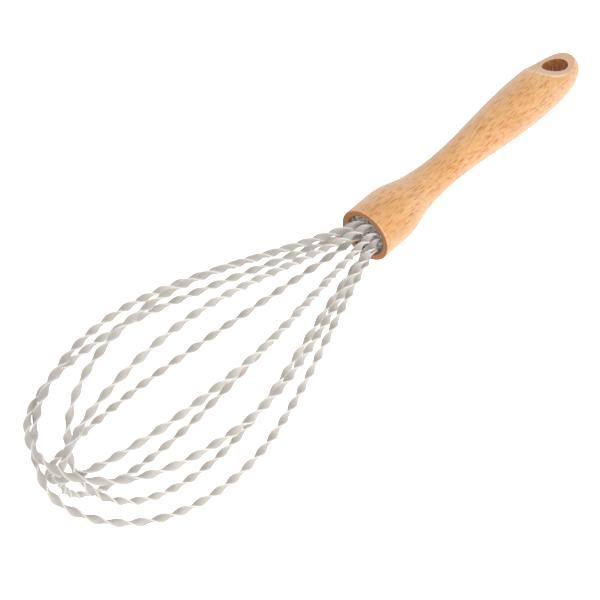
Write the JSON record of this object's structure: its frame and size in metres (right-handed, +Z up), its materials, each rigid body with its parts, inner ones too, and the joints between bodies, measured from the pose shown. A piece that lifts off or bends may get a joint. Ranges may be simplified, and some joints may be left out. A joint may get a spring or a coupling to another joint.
{
  "type": "balloon whisk",
  "caption": "Balloon whisk: turned wooden handle with a hang hole, and closed loops of twisted silicone over steel wire potted into its mouth.",
  "frame": {"origin": "on the worktop, in the middle of the whisk's footprint (the centre of the base of its bounding box)", "axes": "+Z up from the worktop, +X towards the tip of the balloon (the hang hole is at -X), +Y to the back; the whisk's own axis climbs 5.7 degrees towards the tip"},
  "size_m": [0.3154, 0.0786, 0.0781],
  "materials": {
    "beech": "satin, lightly oiled",
    "silicone": "matt silicone, light warm grey",
    "resin": "cloudy grey cast resin",
    "spring_wire": "drawn spring wire"
  },
  "bodies": {
    "root": {"handle": "beech", "potting_resin": "resin", "core_wire_1": "spring_wire", "core_wire_2": "spring_wire", "core_wire_3": "spring_wire", "core_wire_4": "spring_wire", "core_wire_5": "spring_wire", "silicone_ribbon_1": "silicone", "silicone_ribbon_2": "silicone", "silicone_ribbon_3": "silicone", "silicone_ribbon_4": "silicone", "silicone_ribbon_5": "silicone"}
  },
  "joints": []
}
